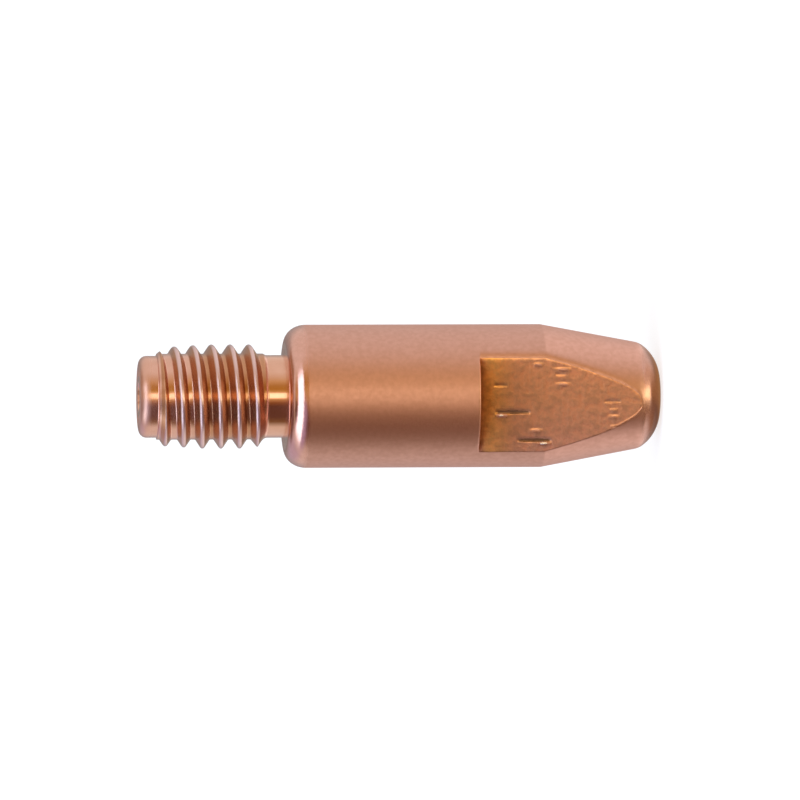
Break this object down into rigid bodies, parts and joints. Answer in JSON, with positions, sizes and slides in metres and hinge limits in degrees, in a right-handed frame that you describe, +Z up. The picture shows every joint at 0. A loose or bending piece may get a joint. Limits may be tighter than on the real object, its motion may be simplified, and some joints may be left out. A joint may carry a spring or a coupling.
{
  "type": "welding contact tip",
  "caption": "Turned copper contact tip for a wire-feed welding torch, with a wire bore, a tapered nose, wrench flats and a threaded shank behind a shoulder.",
  "frame": {"origin": "centre of the nose face, which is the lowest point as the tip stands on its nose", "axes": "+Z up the turning axis from the nose to the threaded end; the two wrench flats face -Y and +Y"},
  "size_m": [0.0076, 0.0076, 0.028],
  "materials": {
    "copper": "satin turned copper, with brighter thread and neck and rougher milled flats"
  },
  "bodies": {
    "root": {"contact_tip": "copper"}
  },
  "joints": []
}
